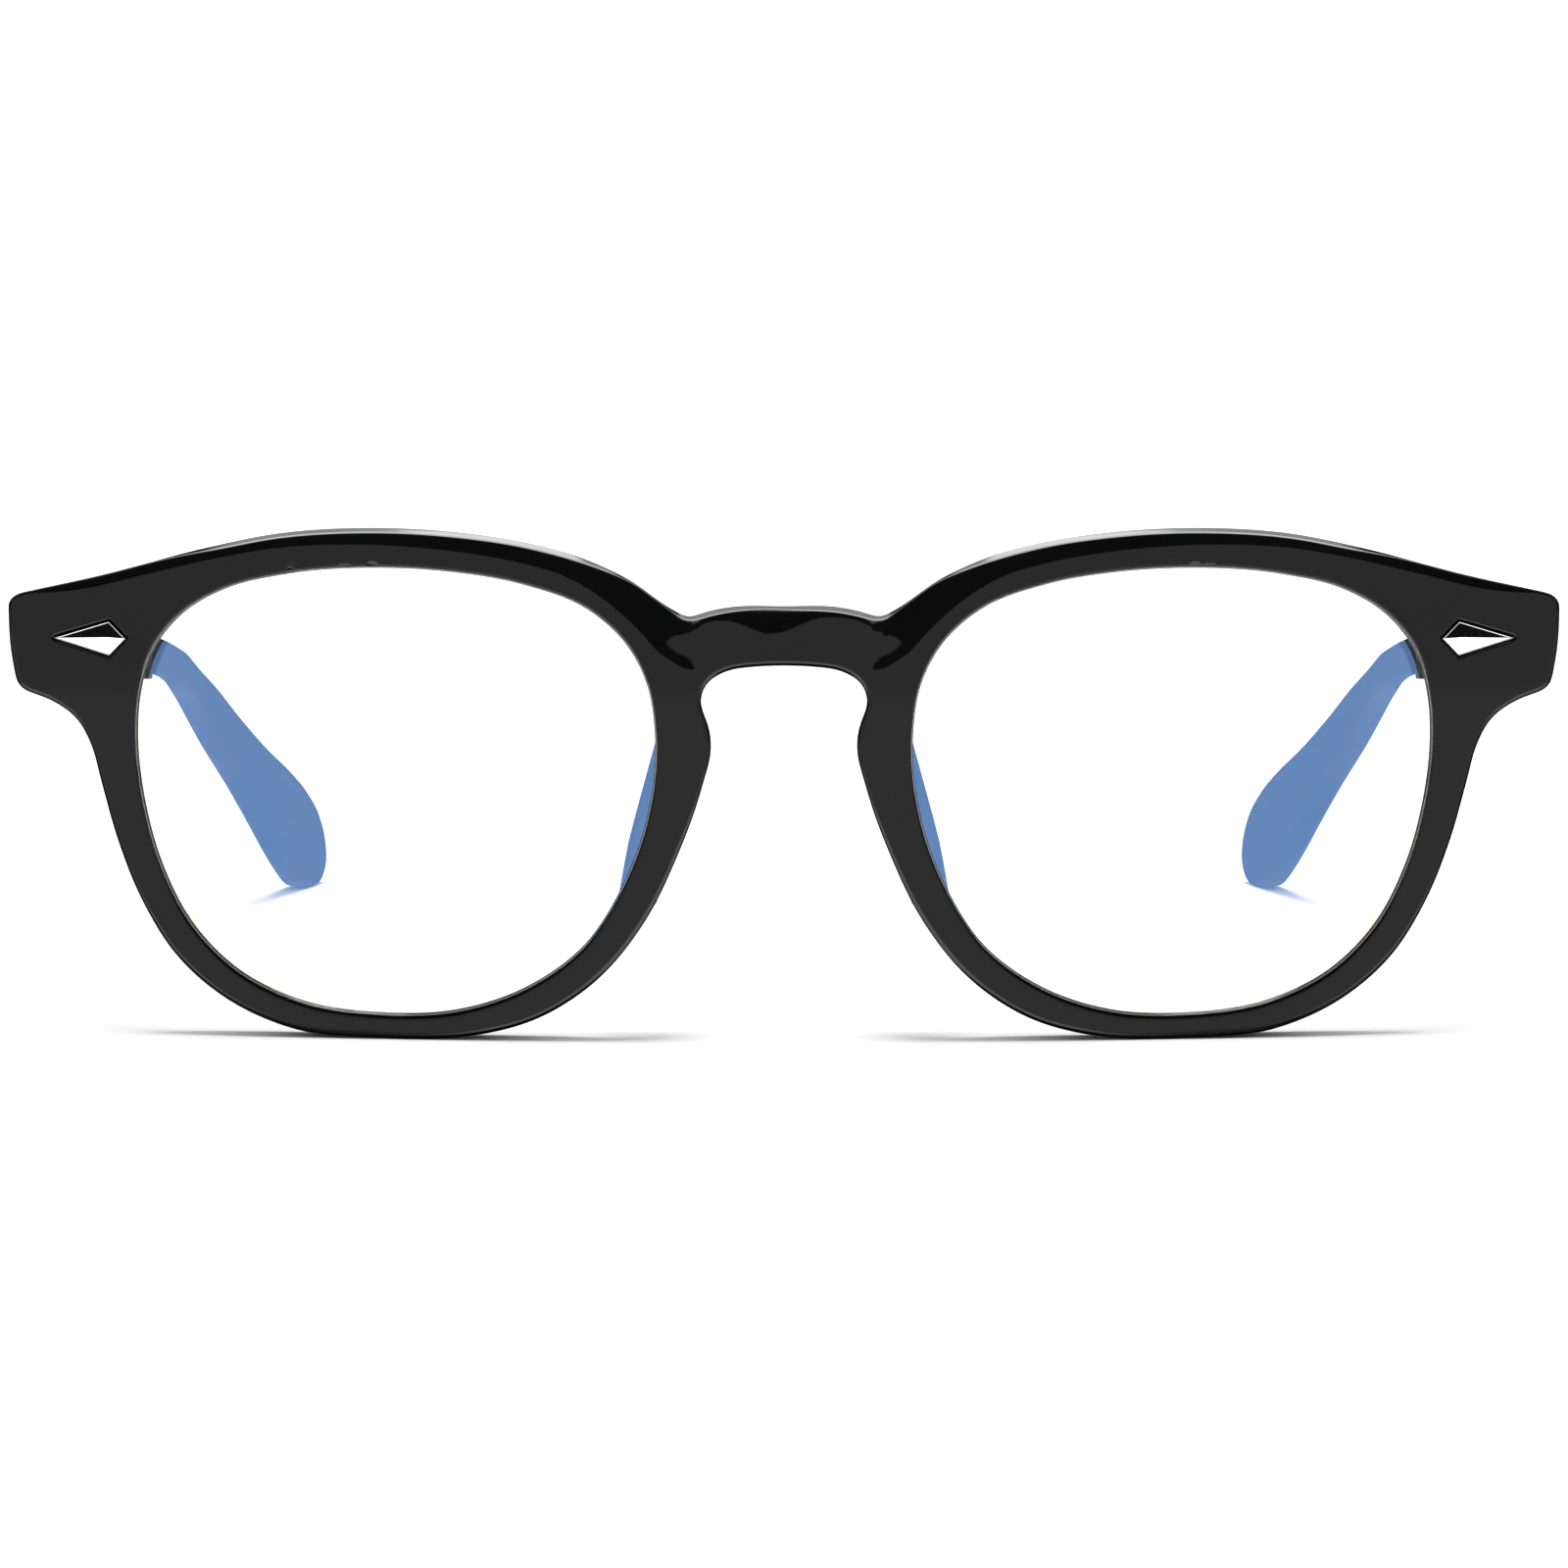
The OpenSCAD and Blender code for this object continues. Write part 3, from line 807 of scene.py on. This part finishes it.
def rivet_piece(where, side, thickness, to_front):
    """The rivet of one side. to_front places its points on the left, x by y by z."""
    verts, faces, peak = rivet_mesh(thickness - LEAF_RECESS + LEAF_T)
    placed = to_front(*verts.T) + [0, FRONT_Y, 0]
    if SIDES[side] < 0:
        placed = placed * [-1, 1, 1]
        faces = [f[::-1] for f in faces]
    name = f"{where}_rivet_{side}"
    piece = make(f"{name}_metal", placed, faces, rivet_metal, name)
    for polygon in piece.data.polygons:
        if peak in polygon.vertices:
            polygon.use_smooth = False


def on_front(x, y, z):
    """Square to the front's curved face."""
    a = math.asin(RIVET_X / FACE_R)
    c, s = math.cos(a), math.sin(a)
    face_y = float(sphere_y(RIVET_X, RIVET_Z, 0))
    return np.column_stack([RIVET_X + x * c + z * s, face_y + x * s - z * c, RIVET_Z + y])


def on_temple(x, y, z):
    """On the temple's outer side, sloping back with it."""
    c, s = math.cos(turn), math.sin(turn)
    outer = TEMPLE_X + TEMPLE_T / 2 + z
    return np.column_stack([outer, TEMPLE_RIVET_Y + x * c - y * s, TEMPLE_RIVET_Z + x * s + y * c])


for side in SIDES:
    rivet_piece("front", side, FRONT_T, on_front)
    rivet_piece("temple", side, TEMPLE_T, on_temple)


# ---- Camera


def add_camera():
    """Straight in front of the glasses and a little above them."""
    camera = bpy.data.objects.new("camera", bpy.data.cameras.new("camera"))
    scene.collection.objects.link(camera)
    camera.location = (0, -0.505, 0.058)
    camera.rotation_euler = (math.radians(90 - 4.54), 0, 0)
    camera.data.lens, camera.data.sensor_width = 108.7, 36
    camera.data.clip_start, camera.data.clip_end = 0.01, 50
    scene.camera = camera
    scene.view_settings.view_transform = "Standard"


# ---- Floor


def floor_material():
    """White. In mirrors it glows instead, with painted light and shade: bright well in front of the
    glasses and where it is seen steeply, but dark under and behind them, a painted shadow of the
    glasses."""
    material, tree, shader = nodes_of("floor_white")
    shader.inputs["Base Color"].default_value = (0.86, 0.86, 0.865, 1)
    shader.inputs["Roughness"].default_value = 0.9
    shader.inputs["Specular IOR Level"].default_value = 0
    place = tree.nodes.new("ShaderNodeNewGeometry")
    apart = tree.nodes.new("ShaderNodeSeparateXYZ")
    tree.links.new(place.outputs["Position"], apart.inputs["Vector"])
    facing = tree.nodes.new("ShaderNodeLayerWeight").outputs["Facing"]
    # Painted shade: in mirrors the floor under and behind the glasses glows only faintly, standing
    # in for their shadow; well in front it glows brighter
    lit_ahead_shaded_under = ranged(tree, apart.outputs["Y"], -0.0725, -0.0745, 0.05, 0.62)
    # Painted shade: where the floor is seen straight down, as under the glasses' lower edges, it
    # goes dark in mirrors
    below = ranged(tree, facing, 0.13, 0.23)
    # Painted light: in mirrors the floor glows up to 3.2 times as bright where it is seen steeply
    steep = ranged(tree, facing, 0.68, 0.58, 1.0, 3.2)
    strength = combined(tree, "MULTIPLY", combined(tree, "MULTIPLY", lit_ahead_shaded_under, below), steep)
    # Emission that paints the floor's light and shade as mirrors see it; other rays see the white
    # floor
    painted_glow = tree.nodes.new("ShaderNodeEmission")
    tree.links.new(strength, painted_glow.inputs["Strength"])
    rays = tree.nodes.new("ShaderNodeLightPath").outputs
    mirrored = combined(
        tree, "SUBTRACT", rays["Is Glossy Ray"], rays["Is Transmission Ray"], clamp=True
    )
    either = tree.nodes.new("ShaderNodeMixShader")
    tree.links.new(mirrored, either.inputs["Fac"])
    tree.links.new(shader.outputs["BSDF"], either.inputs[1])
    tree.links.new(painted_glow.outputs["Emission"], either.inputs[2])
    tree.links.new(either.outputs["Shader"], tree.nodes["Material Output"].inputs["Surface"])
    return material


def add_floor():
    reach = 4
    mesh = bpy.data.meshes.new("floor")
    corners = [(-reach, -reach, 0), (reach, -reach, 0), (reach, reach, 0), (-reach, reach, 0)]
    mesh.from_pydata(corners, [], [(0, 1, 2, 3)])
    mesh.materials.append(floor_material())
    floor = bpy.data.objects.new("floor", mesh)
    scene.collection.objects.link(floor)


# ---- The studio round the glasses


def add_world():
    """Mirrored, it is bright in front up to the softbox's top edge, dark overhead, and bright
    again low down behind. It is plain white to the camera and through the lenses."""
    world = bpy.data.worlds.new("studio")
    scene.world = world
    world.use_nodes = True
    tree = world.node_tree
    tree.nodes.clear()

    def smooth(value, start, end, low=0.0, high=1.0):
        return ranged(tree, value, start, end, low, high, smooth=True)

    def mixed(factor, a, b):
        node = tree.nodes.new("ShaderNodeMix")
        node.data_type = "FLOAT"
        tree.links.new(factor, node.inputs["Factor"])
        tree.links.new(a, node.inputs["A"])
        node.inputs["B"].default_value = b
        return node.outputs["Result"]

    coord = tree.nodes.new("ShaderNodeTexCoord")
    split = tree.nodes.new("ShaderNodeSeparateXYZ")
    tree.links.new(coord.outputs["Generated"], split.inputs["Vector"])
    up, back = split.outputs["Z"], split.outputs["Y"]
    softbox = combined(
        tree, "MULTIPLY", smooth(up, 0.3, 0.4, 1, 0), smooth(back, -0.45, -0.3, 1, 0)
    )
    strip = combined(tree, "MULTIPLY", smooth(up, 0.14, 0.22), smooth(up, 0.75, 0.85, 1, 0))
    behind = combined(tree, "MULTIPLY", smooth(back, 0.1, 0.3), strip)
    glow = combined(tree, "MULTIPLY", combined(tree, "ADD", softbox, behind), 0.5)
    glow = combined(tree, "ADD", glow, 0.005)
    rays = tree.nodes.new("ShaderNodeLightPath").outputs
    plain = combined(tree, "MAXIMUM", rays["Is Camera Ray"], rays["Is Transmission Ray"])
    strength = mixed(plain, mixed(rays["Is Diffuse Ray"], glow, 0.75), 1.6)
    background = tree.nodes.new("ShaderNodeBackground")
    background.inputs["Color"].default_value = (1, 1, 1, 1)
    tree.links.new(strength, background.inputs["Strength"])
    out = tree.nodes.new("ShaderNodeOutputWorld")
    tree.links.new(background.outputs["Background"], out.inputs["Surface"])


def stage_light(name, kind, place, aim):
    light = bpy.data.objects.new(name, bpy.data.lights.new(name, kind))
    scene.collection.objects.link(light)
    light.location = place
    light.rotation_euler = (Vector(aim) - Vector(place)).to_track_quat("-Z", "Y").to_euler()
    return light


def mirror_panel(name, y, z, toward_y, size, radiance, pieces):
    """An upright panel that's seen only mirrored, and only by the pieces named."""
    panel = stage_light(name, "AREA", (0, y, z), (0, toward_y, z))
    panel.data.shape = "RECTANGLE"
    panel.data.size, panel.data.size_y = size
    panel.data.energy = radiance * math.pi * size[0] * size[1]
    panel.visible_camera = panel.visible_diffuse = panel.visible_transmission = False
    group = bpy.data.collections.new(f"{name}_receivers")
    for piece in pieces:
        group.objects.link(bpy.data.objects[piece])
    panel.light_linking.receiver_collection = group


def add_lights():
    overhead = stage_light("overhead", "SUN", (0, 0.1, 1.4), (0, 0.1, 0))
    overhead.data.energy, overhead.data.angle = 3.2, math.radians(30)
    overhead.visible_glossy = False
    lenses = [f"lens_{side}_glass" for side in SIDES]
    mirror_panel("coating_panel", -0.08, 0.12, 0, (0.6, 0.25), 1.6, lenses)
    mirror_panel("edge_panel_high", 0.1, 0.13, -0.07, (0.5, 0.06), 1.4, ["front_acetate"])
    mirror_panel("edge_panel_low", 0.1, 0.02, -0.07, (0.5, 0.044), 2.4, ["front_acetate"])


add_camera()
add_floor()
add_world()
add_lights()
